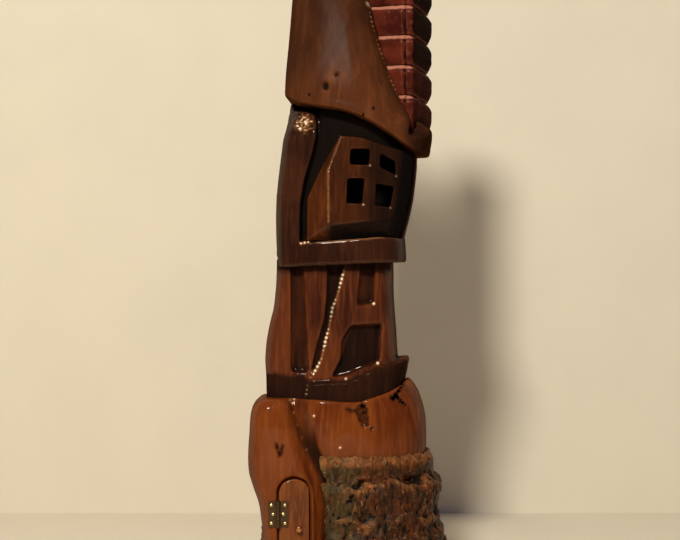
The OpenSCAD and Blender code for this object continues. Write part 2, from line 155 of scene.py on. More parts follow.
class Block:
    """A solid as distances from its surface, in mm, on a grid of cells. Inside is negative."""

    def __init__(self, *nodes, cell, reach=3.0):
        cell = cell
        self.cell = cell
        self.reach = reach
        boxes = [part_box(n) for n in nodes]
        low = np.min([b[0] for b in boxes], axis=0) / MM
        high = np.max([b[1] for b in boxes], axis=0) / MM
        self.first = np.floor(low / cell).astype(int) - 4
        count = np.ceil(high / cell).astype(int) + 5 - self.first
        self.d = np.full(tuple(count), reach, np.float32)
        for node in nodes:
            self.d = np.minimum(self.d, self.read(node))

    def read(self, node):
        """The distances from a CAD node's surface, on this block's grid."""
        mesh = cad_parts[node].data
        places = np.empty(len(mesh.vertices) * 3, np.float32)
        mesh.vertices.foreach_get("co", places)
        mesh.calc_loop_triangles()
        corners = np.empty(len(mesh.loop_triangles) * 3, np.int32)
        mesh.loop_triangles.foreach_get("vertices", corners)
        grid = openvdb.FloatGrid.createLevelSetFromPolygons(
            places.reshape(-1, 3) / MM,
            triangles=corners.reshape(-1, 3).astype(np.uint32),
            transform=openvdb.createLinearTransform(voxelSize=self.cell),
            halfWidth=self.reach / self.cell,
        )
        field = np.full(self.d.shape, self.reach, np.float32)
        grid.copyToArray(field, ijk=tuple(int(v) for v in self.first))
        return field

    def skin(self, reach):
        """The cells near the surface, and their places in mm."""
        near = np.abs(self.d) < reach
        places = (np.argwhere(near) + self.first) * self.cell
        return near, places.astype(np.float32)

    def wear(self, depth, reach=1.8):
        """Takes depth(points) mm off the surface, or adds it where it is negative."""
        near, places = self.skin(reach)
        self.d[near] += in_batches(depth, places)

    def cut(self, cutter, reach=2.9):
        """Cuts away what is inside cutter(points), a distance that is negative inside."""
        near, places = self.skin(reach)
        self.d[near] = np.maximum(self.d[near], -in_batches(cutter, places))

    def blurred(self, radius):
        """The field averaged over about radius mm."""
        width = radius / self.cell
        taps = np.arange(-math.ceil(2.5 * width), math.ceil(2.5 * width) + 1)
        weights = np.exp(-0.5 * (taps / width) ** 2)
        weights /= weights.sum()
        field = self.d
        for axis in range(3):
            pad = [(0, 0)] * 3
            pad[axis] = (-taps[0], taps[-1])
            padded = np.pad(field, pad, mode="edge")
            size = field.shape[axis]
            field = sum(
                np.float32(w) * np.take(padded, range(k, k + size), axis=axis)
                for k, w in enumerate(weights)
            )
        return field

    def soften(self, edge=0.45, face=1.5, keep=0.22):
        """Rounds sharp edges a little, and flat facets much more."""
        broad = self.blurred(face)
        fine = self.blurred(edge)
        sharp = smooth_step(np.abs(broad - self.d), keep * 0.4, keep)
        self.d = (broad + (fine - broad) * sharp).astype(np.float32)

    def sample(self, field, places):
        """A field's value at each place, in mm."""
        at = places / self.cell - self.first
        corner = np.clip(np.floor(at).astype(int), 0, np.array(field.shape) - 2)
        part = at - corner
        value = np.zeros(len(places))
        for step in np.ndindex(2, 2, 2):
            weight = np.prod(np.where(step, part, 1 - part), axis=1)
            i = corner + step
            value += weight * field[i[:, 0], i[:, 1], i[:, 2]]
        return value

    def mesh(self, name, marks=None):
        """Makes the piece. edge is high on ridges, hollow in creases and deep in recesses."""
        grid = openvdb.FloatGrid(self.reach)
        grid.transform = openvdb.createLinearTransform(voxelSize=self.cell)
        grid.copyFromArray(self.d, ijk=tuple(int(v) for v in self.first))
        places, quads = grid.convertToQuads(isovalue=0.0)
        data = bpy.data.meshes.new(name)
        data.vertices.add(len(places))
        data.vertices.foreach_set("co", (places * MM).astype(np.float32).ravel())
        data.loops.add(4 * len(quads))
        data.loops.foreach_set("vertex_index", quads[:, ::-1].astype(np.int32).ravel())
        data.polygons.add(len(quads))
        data.polygons.foreach_set("loop_start", np.arange(0, 4 * len(quads), 4, dtype=np.int32))
        data.update(calc_edges=True)
        data.shade_smooth()
        bend = self.sample(self.blurred(EDGE_SPAN), places) / EDGE_SPAN
        dip = self.sample(self.blurred(DIP_SPAN), places) / DIP_SPAN
        store(data, "edge", smooth_step(bend, 0.10, 0.42))
        store(data, "hollow", smooth_step(-bend, 0.10, 0.45))
        store(data, "deep", smooth_step(-dip, 0.05, 0.40))
        for mark, value in (marks or {}).items():
            store(data, mark, in_batches(value, places.astype(np.float32)))
        piece = bpy.data.objects.new(name, data)
        bpy.context.scene.collection.objects.link(piece)
        return piece


def store(data, mark, values):
    """Keeps a number for each point of the mesh, which its material reads by name."""
    layer = data.attributes.new(mark, "FLOAT", "POINT")
    layer.data.foreach_set("value", np.asarray(values, np.float32))


def place(piece, body, slot, material, *nodes):
    """Gives the piece its body and material, and hides the CAD nodes that it stands for. The slot is not
    used.
    """
    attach(piece, body)
    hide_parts(*nodes)
    piece.data.materials.append(material)
    return piece


def tool_marks(points, depth=0.14, size=5.0, seed=3):
    """Shallow facets that a knife leaves on rounded wood, longer up the grain than across."""
    swell = ripple(points, (size, size, size * 2.4), seed)
    small = ripple(points, (1.6, 1.6, 5.0), seed + 1)
    return depth * (np.abs(swell) * 1.6 - 0.5) + depth * 0.25 * small


def beads(points, path, every, radius, seed=0):
    """1 at the middle of each bead in an uneven row along a path, falling to 0 at its radius."""
    away, run = along(points, path)
    number = np.round(run / every)
    aside = run - number * every
    big = 0.45 + 0.55 * np.abs(np.sin(number * 2.7 + seed))
    return big * np.clip(1 - (away ** 2 + aside ** 2) / (radius * big) ** 2, 0, 1)


def dots(points, places, radius):
    """1 at each of some places in x and z, falling to 0 at the radius."""
    best = np.zeros(len(points), np.float32)
    for x, z in places:
        away = ((points[:, 0] - x) ** 2 + (points[:, 2] - z) ** 2) / radius ** 2
        best = np.maximum(best, np.clip(1 - away, 0, 1))
    return best


# ---- materials -----------------------------------------------------------------------------
COAT_IOR = 1.27         # of the thin varnish
# near black, painted in holes, pits and cracks, and as painted shade
CRACK_AND_SHADE_BLACK = (0.006, 0.0045, 0.0038)
CREASE_DIRT = (0.006, 0.003, 0.002)
# orange of the painted highlights along rims and beads
RIM_HIGHLIGHT = (0.42, 0.19, 0.07)
GLINT_CREAM = (0.86, 0.72, 0.52)        # of the painted highlights


class Paint:
    """A material's nodes, written one step at a time."""

    def __init__(self, name):
        self.material = bpy.data.materials.new(name)
        self.material.use_nodes = True
        self.tree = self.material.node_tree
        self.tree.nodes.clear()
        self.shader = self.add("ShaderNodeBsdfPrincipled")
        self.out = self.add("ShaderNodeOutputMaterial")
        self.link(self.shader.outputs[0], self.out.inputs[0])
        self.coordinates = self.add("ShaderNodeTexCoord")
        self.where = self.coordinates.outputs["Object"]

    def add(self, kind, **settings):
        node = self.tree.nodes.new(kind)
        for key, value in settings.items():
            setattr(node, key, value)
        return node

    def link(self, source, target):
        self.tree.links.new(source, target)

    def put(self, socket, value):
        if isinstance(value, bpy.types.NodeSocket):
            self.link(value, socket)
        elif isinstance(value, tuple) and len(value) == 3 and socket.type == "RGBA":
            socket.default_value = (*value, 1)
        else:
            socket.default_value = value

    def noise(self, scale, detail=4.0, roughness=0.55, distortion=0.0, stretch=(1, 1, 1)):
        """Noise with scale lumps to the mm, from 0 to 1."""
        mapping = self.add("ShaderNodeMapping")
        self.link(self.where, mapping.inputs["Vector"])
        mapping.inputs["Scale"].default_value = tuple(s / MM for s in stretch)
        node = self.add("ShaderNodeTexNoise")
        self.link(mapping.outputs[0], node.inputs["Vector"])
        node.inputs["Scale"].default_value = scale
        node.inputs["Detail"].default_value = detail
        node.inputs["Roughness"].default_value = roughness
        node.inputs["Distortion"].default_value = distortion
        return node.outputs["Fac"]

    def mark(self, name):
        return self.add("ShaderNodeAttribute", attribute_name=name).outputs["Fac"]

    def math(self, operation, a, b=0.0, clamp=False):
        node = self.add("ShaderNodeMath", operation=operation, use_clamp=clamp)
        self.put(node.inputs[0], a)
        self.put(node.inputs[1], b)
        return node.outputs[0]

    def spread(self, value, low, high, to_low=0.0, to_high=1.0):
        """A smooth step of the value from low to high, as a number from to_low to to_high."""
        node = self.add("ShaderNodeMapRange", interpolation_type="SMOOTHSTEP")
        self.put(node.inputs["Value"], value)
        ends = {"From Min": low, "From Max": high, "To Min": to_low, "To Max": to_high}
        for key, number in ends.items():
            node.inputs[key].default_value = number
        return node.outputs[0]

    def mix(self, amount, a, b):
        node = self.add("ShaderNodeMix", data_type="RGBA")
        self.put(node.inputs["Factor"], amount)
        self.put(node.inputs["A"], a)
        self.put(node.inputs["B"], b)
        return node.outputs["Result"]

    def facing(self):
        """0 on the object's flanks, 1 on its front and back."""
        split = self.add("ShaderNodeSeparateXYZ")
        self.link(self.coordinates.outputs["Normal"], split.inputs[0])
        return self.math("ABSOLUTE", split.outputs["Y"])

    def bump(self, height, strength, depth_mm):
        node = self.add("ShaderNodeBump")
        node.inputs["Strength"].default_value = strength
        node.inputs["Distance"].default_value = depth_mm * MM
        self.link(height, node.inputs["Height"])
        self.link(node.outputs[0], self.shader.inputs["Normal"])
        self.link(node.outputs[0], self.shader.inputs["Coat Normal"])

    def finish(self, color, roughness, coat=0.0, coat_roughness=0.1, metallic=0.0, specular=0.5):
        self.put(self.shader.inputs["Base Color"], color)
        self.put(self.shader.inputs["Roughness"], roughness)
        self.put(self.shader.inputs["Coat Weight"], coat)
        self.shader.inputs["Coat IOR"].default_value = COAT_IOR
        self.shader.inputs["Coat Roughness"].default_value = coat_roughness
        self.shader.inputs["Metallic"].default_value = metallic
        self.shader.inputs["Specular IOR Level"].default_value = specular
        return self.material


def wood(name, dark, middle, light, figure=0.11, coat=0.8, coat_roughness=0.08, marks=()):
    """Varnished wood: figure and pores run up the grain, creases are dark, recesses get painted shade, and
    ridges are painted pale, partly as wear and partly as a painted highlight.

    Where the rim mark is high it is painted orange and then cream: painted highlights, which stay pale in
    any light.
    """
    paint = Paint(name)
    broad = paint.noise(figure * 0.45, 3, stretch=(1, 1, 0.45), distortion=0.8)
    grain = paint.noise(figure * 4.2, 4, stretch=(1, 1, 0.12), distortion=0.5)
    pores = paint.noise(2.6, 2, 0.6, stretch=(1, 1, 0.06))
    color = paint.mix(paint.spread(broad, 0.35, 0.68), dark, middle)
    color = paint.mix(paint.spread(grain, 0.42, 0.75, 0, 0.45), color, light)
    streak = paint.spread(pores, 0.5, 0.72, 0, 0.16)
    color = paint.mix(streak, color, tuple(c * 0.35 for c in dark))
    # Recesses are painted darker here: painted shade.
    deep = paint.math("MULTIPLY", paint.mark("deep"), 0.7, clamp=True)
    color = paint.mix(deep, color, tuple(c * 0.3 for c in dark))
    crease = paint.math("MULTIPLY", paint.mark("hollow"), 0.5, clamp=True)
    color = paint.mix(crease, color, CREASE_DIRT)
    # Ridges are painted lighter, partly as wear and partly as a painted highlight.
    wear_and_highlight = paint.math("MULTIPLY", paint.mark("edge"), 0.35, clamp=True)
    color = paint.mix(wear_and_highlight, color, light)
    gloss = paint.spread(paint.noise(0.25, 3), 0.3, 0.7, 0.34, 0.50)
    varnish = coat
    if "rim" in marks:
        # The rim mark paints highlights: orange, and cream where it is high.
        color = paint.mix(paint.mark("rim"), color, RIM_HIGHLIGHT)
        color = paint.mix(paint.spread(paint.mark("rim"), 0.6, 0.9), color, GLINT_CREAM)
    if "dark_and_shade" in marks:
        # Holes, pits and cracks are painted near black here, and places in shade get painted shade; the
        # varnish is thinned there.
        dark_and_shade = paint.mark("dark_and_shade")
        color = paint.mix(dark_and_shade, color, CRACK_AND_SHADE_BLACK)
        varnish = paint.spread(dark_and_shade, 0.2, 0.8, coat, coat * 0.06)
    # The varnish is set thinner on the flanks than on the front and back, which keeps them dark.
    varnish = paint.math("MULTIPLY", varnish, paint.spread(paint.facing(), 0.1, 0.75, 0.12, 1.0))
    paint.bump(paint.mix(0.5, grain, pores), 0.30, 0.05)
    return paint.finish(color, gloss, varnish, coat_roughness, specular=0.0)


BARK_DARK = (0.030, 0.014, 0.007)
BARK_BROWN = (0.085, 0.023, 0.007)
BARK_FIBRE = (0.115, 0.040, 0.011)
BARK_OLIVE_GREY = (0.070, 0.050, 0.017)
BARK_TORN = (0.25, 0.082, 0.021)
BARK_CHIP_GLINT = (0.34, 0.20, 0.08)
BARK_CREASE = (0.007, 0.005, 0.003)
BARK_RECESS_SHADE = (0.010, 0.006, 0.004)


def bark_material():
    """Bark: dark brown plates, olive-grey patches, orange torn rims, pale flecks on edges that are partly
    chips and partly painted glints, and painted shade in recesses.
    """
    paint = Paint("rough_bark")
    patches = paint.noise(0.16, 4, 0.6, 0.8)
    fibres = paint.noise(0.9, 5, 0.65, stretch=(1, 1, 0.35))
    grit = paint.noise(1.9, 4, 0.7)
    color = paint.mix(paint.spread(patches, 0.4, 0.62), BARK_DARK, BARK_BROWN)
    color = paint.mix(paint.spread(fibres, 0.5, 0.7, 0, 0.7), color, BARK_FIBRE)
    in_grit = paint.spread(grit, 0.35, 0.6, 0.25, 1.0)
    # Olive-grey patches, mostly on the left side.
    olive_grey = paint.math("MULTIPLY", paint.mark("olive_left"), in_grit, clamp=True)
    color = paint.mix(olive_grey, color, BARK_OLIVE_GREY)
    in_fibres = paint.spread(fibres, 0.40, 0.60, 0.3, 1.0)
    torn = paint.math("MULTIPLY", paint.mark("rim"), in_fibres, clamp=True)
    color = paint.mix(torn, color, BARK_TORN)
    # Pale flecks on edges: partly chipped bark, partly painted glints.
    chip_glints = paint.math("MULTIPLY", paint.mark("edge"), paint.spread(grit, 0.5, 0.66), clamp=True)
    color = paint.mix(chip_glints, color, BARK_CHIP_GLINT)
    color = paint.mix(paint.spread(paint.mark("hollow"), 0.0, 0.8), color, BARK_CREASE)
    # Recesses are painted darker: painted shade.
    color = paint.mix(paint.spread(paint.mark("deep"), 0.1, 1.0, 0, 0.7), color, BARK_RECESS_SHADE)
    gloss = paint.spread(grit, 0.35, 0.7, 0.34, 0.62)
    # Fissures are painted near black, and the low left front gets painted shade.
    color = paint.mix(paint.mark("dark_and_shade"), color, CRACK_AND_SHADE_BLACK)
    paint.bump(paint.mix(0.5, fibres, grit), 0.9, 0.25)
    return paint.finish(color, gloss, 0.12, 0.16, specular=0.04)


BRICK_DARK = (0.045, 0.008, 0.005)
BRICK_RED = (0.11, 0.019, 0.009)
BRICK_SCUFF = (0.24, 0.066, 0.038)
BRICK_RIDGE = (0.28, 0.080, 0.045)
BRICK_ARRIS_HIGHLIGHT = (0.52, 0.21, 0.135)
BRICK_SHADE = (0.012, 0.004, 0.003)
BRICK_JOINT = (0.007, 0.003, 0.003)


def brick_material():
    """Carved bricks: deep red stain, a painted pink highlight along the upper arrises, painted shade on
    the right side, black in the joints.
    """
    paint = Paint("red_brick")
    tone = paint.noise(0.09, 3)
    scuff = paint.noise(0.8, 5, 0.7, 0.4, stretch=(1, 1, 0.6))
    color = paint.mix(paint.spread(tone, 0.35, 0.65), BRICK_DARK, BRICK_RED)
    color = paint.mix(paint.spread(scuff, 0.55, 0.80, 0, 0.5), color, BRICK_SCUFF)
    # Ridges are painted lighter, partly as wear and partly as a painted highlight.
    ridge = paint.math("MULTIPLY", paint.mark("edge"), 0.35, clamp=True)
    color = paint.mix(ridge, color, BRICK_RIDGE)
    # The upper arris gets a painted highlight.
    color = paint.mix(paint.math("MULTIPLY", paint.mark("arris"), 0.8), color, BRICK_ARRIS_HIGHLIGHT)
    # The right side gets painted shade.
    color = paint.mix(paint.mark("shade"), color, BRICK_SHADE)
    color = paint.mix(paint.spread(paint.mark("hollow"), 0.05, 0.6), color, BRICK_JOINT)
    paint.bump(scuff, 0.5, 0.15)
    gloss = paint.spread(scuff, 0.3, 0.7, 0.28, 0.5)
    varnish = paint.spread(paint.mark("shade"), 0.1, 0.6, 0.3, 0.05)
    return paint.finish(color, gloss, varnish, 0.14, specular=0.0)


def metal_material(name, color, dull, roughness):
    """Metal with duller, rougher spots."""
    paint = Paint(name)
    spots = paint.noise(1.1, 4, 0.7)
    shade = paint.mix(paint.spread(spots, 0.45, 0.7), color, dull)
    paint.bump(spots, 0.25, 0.05)
    gloss = paint.spread(spots, 0.3, 0.7, roughness, roughness + 0.2)
    return paint.finish(shade, gloss, metallic=1.0)


def stage_material(name, color):
    """Plain paint on a sheet that only shows from its front."""
    paint = Paint(name)
    sheet = paint.add("ShaderNodeMixShader")
    paint.link(paint.add("ShaderNodeNewGeometry").outputs["Backfacing"], sheet.inputs[0])
    paint.link(paint.shader.outputs[0], sheet.inputs[1])
    paint.link(paint.add("ShaderNodeBsdfTransparent").outputs[0], sheet.inputs[2])
    paint.link(sheet.outputs[0], paint.out.inputs[0])
    mottle = paint.noise(0.02, 3)
    shade = paint.mix(paint.spread(mottle, 0.3, 0.7), color, tuple(c * 0.97 for c in color))
    return paint.finish(shade, 0.85, specular=0.2)


log_wood = wood(
    "varnished_log", (0.095, 0.018, 0.003), (0.16, 0.036, 0.006), (0.25, 0.066, 0.012),
    marks=("dark_and_shade", "rim")
)
bark_look = bark_material()
timber_wood = wood(
    "dark_timber", (0.036, 0.009, 0.004), (0.095, 0.023, 0.007), (0.19, 0.055, 0.016),
    marks=("dark_and_shade", "rim")
)
post_wood = wood(
    "dark_post", (0.018, 0.006, 0.003), (0.042, 0.013, 0.005), (0.080, 0.026, 0.010),
    marks=("dark_and_shade", "rim")
)
window_wood = wood(
    "window_wood", (0.036, 0.010, 0.003), (0.070, 0.018, 0.004), (0.14, 0.038, 0.008),
    marks=("dark_and_shade", "rim")
)
roof_wood = wood(
    "roof_wood", (0.050, 0.016, 0.007), (0.10, 0.030, 0.010), (0.17, 0.052, 0.014), figure=0.07,
    coat=0.05, coat_roughness=0.25, marks=("dark_and_shade", "rim")
)
door_wood = wood(
    "door_wood", (0.095, 0.024, 0.006), (0.17, 0.046, 0.009), (0.27, 0.085, 0.017), figure=0.2
)
brick_look = brick_material()
dowel_wood = wood(
    "bare_dowel", (0.30, 0.17, 0.08), (0.42, 0.26, 0.13), (0.55, 0.36, 0.19), coat=0.0
)
bronze = metal_material("dark_bronze", (0.105, 0.062, 0.032), (0.035, 0.022, 0.015), 0.32)
brass = metal_material("bright_brass", (0.90, 0.68, 0.28), (0.66, 0.45, 0.17), 0.22)
copper = metal_material("copper_knob", (0.62, 0.24, 0.08), (0.38, 0.14, 0.05), 0.25)


# ---- the stump -----------------------------------------------------------------------------
FRONT_FLAT = -34.2      # in front of this is the flat round the doorway
GROOVE = [
    (-22.3, 85.0), (-20.6, 77.5), (-18.6, 69.7), (-15.4, 61.2), (-12.8, 54.6), (-10.2, 46.5),
    (-9.0, 38.0), (-9.0, 0.0),
]
PIT = [(2.3, 79.6), (5.4, 83.8), (7.4, 82.3), (8.3, 77.0), (8.6, 73.3), (6.5, 72.3), (4.7, 73.9)]
PIT_CRACK = [(-1.0, 80.2), (2.6, 79.4)]
WORM_HOLES = [          # x, z and radius of the holes, most near the stump's right shoulder
    (20.2, 85.7, 1.0), (19.2, 84.4, 0.7), (21.2, 84.6, 0.6), (22.2, 83.6, 0.45), (23.4, 82.6, 0.6),
    (24.4, 81.6, 0.35), (18.2, 85.2, 0.4), (21.9, 87.6, 0.4), (9.9, 71.8, 0.45),
]
GROOVE_BEADS = (5.6, 0.9, 1)    # spacing, radius and seed of the raised beads on the groove's edge, painted pale as highlights
GROOVE_EDGE = [(-25.6, 84.0), (-23.4, 76.0), (-21.2, 69.4), (-18.9, 64.0), (-17.4, 60.0)]
STUMP_GLINTS = [         # x and z of small painted highlights
    (-4.0, 63.8), (-24.0, 84.3), (-24.6, 82.6), (-15.4, 77.4),
]
SHOULDER_CRACK = [(24.6, 91.0), (22.0, 88.0), (20.4, 86.2)]
KNOT = [[(-31.4, 65.6), (-29.8, 60.4)], [(-28.6, 65.2), (-29.8, 60.4)]]


def inside_outline(points, outline):
    """A distance in x and z that is negative inside a closed outline."""
    away, _ = along(points, outline + outline[:1])
    inside = np.zeros(len(points), bool)
    x, z = points[:, 0], points[:, 2]
    for (x0, z0), (x1, z1) in zip(outline, outline[1:] + outline[:1]):
        crosses = (z0 > z) != (z1 > z)
        if z0 != z1:
            inside ^= crosses & (x < (x1 - x0) * (z - z0) / (z1 - z0) + x0)
    return np.where(inside, -away, away)


def hole_distance(p):
    """How far x and z are outside the nearest worm hole. It is negative inside one."""
    away = np.full(len(p), FAR, np.float32)
    for x, z, radius in WORM_HOLES:
        away = np.minimum(away, np.hypot(p[:, 0] - x, p[:, 2] - z) - radius)
    return away


def in_front(p, start=12, full=20):
    """0 behind the plane y = -start, 1 in front of y = -full."""
    return smooth_step(-p[:, 1], start, full)


def stump():
    block = Block("stump_base", cell=0.66, reach=4.4)
    block.soften(edge=0.5, face=1.7)

    def groove(p):
        away, _ = along(p, GROOVE)
        wobble = 0.5 * ripple(p, (3, 3, 6), 33)
        across = np.maximum(away - 0.9, 0) * 1.15 + wobble
        shallow = 1.2 * smooth_step(p[:, 2], 68, 78)
        return np.where(p[:, 1] < -18, np.hypot(across, p[:, 1] + 34.0 + shallow) - 3.3, FAR)

    block.cut(groove, reach=4.2)
    block.soften(edge=0.45, face=0.7)

    def carve(p):
        front = in_front(p)
        depth = tool_marks(p, 0.15, 9.0, seed=2) + 0.25 * ripple(p, (14, 14, 20), 9)
        depth = depth * (0.25 + 0.75 * smooth_step(p[:, 1], FRONT_FLAT - 0.1, FRONT_FLAT + 1.0))
        pit = inside_outline(p, PIT) + 0.5 * ripple(p, 1.8, 31)
        depth += front * (0.9 + 0.6 * rough(p, 1.3, 35)) * smooth_step(-pit, -0.4, 0.3)
        for path, width in ((PIT_CRACK, 0.7), (SHOULDER_CRACK, 0.7), (KNOT[0], 0.6), (KNOT[1], 0.5)):
            away, _ = along(p, path)
            depth += front * 0.9 * np.clip(1 - (away + 0.3 * ripple(p, 1.6, 36)) / width, 0, 1)
        depth -= 0.35 * front * beads(p, GROOVE_EDGE, *GROOVE_BEADS)
        return depth

    block.wear(carve, reach=2.6)

    def worm_holes(p):
        return np.where(p[:, 1] < -18, hole_distance(p) + 0.3 * ripple(p, 1.1, 41), FAR)

    block.cut(worm_holes, reach=3.2)

    def dark_and_shade(p):
        holes = hole_distance(p) - 0.1 + 0.5 * rough(p, 1.4, 44)
        dark = 0.95 * smooth_step(-holes, -0.6, 0.2)
        pit = inside_outline(p, PIT) + 0.5 * ripple(p, 1.8, 31)
        dark = np.maximum(dark, (0.72 + 0.2 * rough(p, 1.2, 37)) * smooth_step(-pit, -0.3, 0.4))
        for path in (PIT_CRACK, SHOULDER_CRACK, *KNOT):
            away, _ = along(p, path)
            dark = np.maximum(dark, 0.7 * smooth_step(-away + 0.5 * ripple(p, 1.5, 46), -1.6, 0.0))
        # The groove's valley gets painted shade, stronger lower down.
        away, _ = along(p, GROOVE)
        half = 4.4 - 2.0 * smooth_step(-p[:, 2], -60, -50)
        valley = smooth_step(-away + 0.9 * ripple(p, (3, 3, 7), 48), -half, 2.6 - half)
        low = 0.30 + 0.5 * smooth_step(-p[:, 2], -76, -64) + 0.12 * ripple(p, (3, 3, 5), 49)
        return np.clip(np.maximum(dark, low * valley), 0, 1) * in_front(p)

    def rim(p):
        # Painted highlights: pale beads along the groove's edge and small pale dots.
        row = np.maximum(0.8 * beads(p, GROOVE_EDGE, *GROOVE_BEADS), dots(p, STUMP_GLINTS, 0.9))
        return in_front(p) * row

    piece = block.mesh("stump", {"dark_and_shade": dark_and_shade, "rim": rim})
    return place(piece, HOUSE, "log_wood", log_wood, "stump_base")


# ---- the bark ------------------------------------------------------------------------------
LAYER = 15.5            # height of a layer of bark
BARK_TOP = 60.0         # height of the bark's torn upper rim


def bark_layer(p):
    """How far up its layer of bark a point is, from 0 at the foot to 1 at the torn rim."""
    around = p * np.array([1, 1, 0], np.float32)
    height = p[:, 2] + 6.5 * ripple(around, 15.0, 81) + 3.0 * ripple(p, (7, 7, 12), 82)
    return (height - 2.0) / LAYER % 1.0


def bark_rim(p):
    """1 near a torn rim, which stands out more in some places than in others."""
    up = bark_layer(p)
    strength = smooth_step(ripple(p, (9, 9, 9), 86), -0.35, 0.35)
    return smooth_step(up, 0.74, 0.93) * strength


def bark_top(p):
    """1 near the bark's upper rim, all the way round."""
    return smooth_step(p[:, 2] + 1.2 * ripple(p, 5.0, 87), BARK_TOP - 5.5, BARK_TOP - 2.5)


def bark_fissure(p):
    """1 along the upright cracks of the bark."""
    return smooth_step(1 - 2.6 * np.abs(ripple(p, (2.0, 2.0, 8.0), 59)), 0.4, 1.0)


def bark():
    block = Block("bark_skirt", cell=0.74, reach=4.4)
    block.soften(edge=0.5, face=1.2)

    def carve(p):
        out = smooth_step(np.hypot(p[:, 0], p[:, 1]), 20, 30)
        bent = p + 0.9 * np.stack([ripple(p, 3.4, s) for s in (51, 52, 53)], axis=1)
        up, rim, top = bark_layer(p), bark_rim(p), bark_top(p)
        strength = 0.3 + 0.7 * smooth_step(ripple(p, (9, 9, 9), 86), -0.35, 0.35)
        room = 1 - 0.75 * smooth_step(p[:, 2], 49, 56)
        flake_gap, flake = plates(bent, (2.4, 2.4, 4.0), 3)
        crumb_gap, crumb = plates(bent, (1.5, 1.5, 1.5), 8)
        depth = 2.0 * strength * (1 - smooth_step(up, 0.0, 0.85))
        depth += 0.6 * bark_fissure(p) + 0.55 * flake + 0.25 * smooth_step(-flake_gap, -0.12, 0.0)
        depth += 0.7 * rough(p, (5, 5, 8), 60, 2)
        depth = (depth - 0.3) * room
        depth += np.maximum(rim, top) * (1.1 * crumb + 0.4 * smooth_step(-crumb_gap, -0.2, 0.0) - 0.9)
        depth += 0.26 * rough(p, (1.3, 1.3, 1.9), 57, 3)
        return depth * out

    block.wear(carve, reach=3.8)

    def rim_mark(p):
        patch = 0.75 + 0.5 * ripple(p, 3.0, 84)
        return np.clip(np.maximum(bark_rim(p), bark_top(p)) * patch, 0, 1)

    # high on the left side, where the bark is painted olive-grey
    def olive_left_mark(p):
        left = smooth_step(-p[:, 0], -14, 6)
        return np.clip(left * 0.9 + 0.6 * rough(p, 7.0, 85, 2) - 0.15, 0, 1)

    def dark_and_shade(p):
        # Dark in the upright fissures, and painted shade on the low left front, beside the stump's groove.
        low = smooth_step(-p[:, 0], 7.0, 10.0) * smooth_step(-p[:, 2], -36, -26)
        return np.maximum(0.6 * bark_fissure(p) * (1 - rim_mark(p)), 0.75 * low * in_front(p))

    piece = block.mesh("bark", {"rim": rim_mark, "olive_left": olive_left_mark, "dark_and_shade": dark_and_shade})
    return place(piece, HOUSE, "bark", bark_look, "bark_skirt")


# ---- the storeys ---------------------------------------------------------------------------
BRACE_BEADS = (1.9, 0.95, 3)    # spacing, radius and seed of the raised beads on the brace, painted pale as highlights
BRACE_EDGE = [
    (-1.9, 142.0), (-5.5, 128.6), (-7.6, 123.7), (-8.9, 115.4), (-10.6, 109.0), (-12.2, 101.6),
    (-15.2, 96.0),
]
SILL_BEADS = (1.9, 0.8, 4)      # spacing, radius and seed, at the sill's left end, painted pale as highlights
SILL_END = [(-15.6, 95.0), (-17.6, 92.6), (-18.4, 89.0), (-19.0, 85.0)]
SILL_RIM = [
    (-38.0, 95.5), (-20.0, 95.0), (-17.0, 93.2), (-1.0, 93.0), (6.0, 95.8), (13.0, 99.2), (27.0, 102.4),
]
DARK_FLOORS = [         # the recesses' outlines, with how dark their floors are painted as shade
    ([(-25.2, 146), (-20.4, 146), (-18.0, 94), (-25.0, 94)], 0.55),
    (
        [(-9.6, 146), (-2.0, 146), (-5.4, 128.6), (-9.0, 115.6), (-15.0, 95.4), (-16.4, 97), (-11.1, 118)],
        0.75,
    ),
    ([(5.2, 146), (11.0, 146), (10.6, 126), (3.4, 124.8)], 0.55),
    ([(0.9, 116), (14.2, 116.8), (13, 100.4), (-8, 93.4), (-3.4, 105)], 0.85),
]
STOREY_GLINTS = [(10.7, 125.7), (-1.5, 93.0), (12.4, 99.8)]     # small raised dots, painted pale as highlights


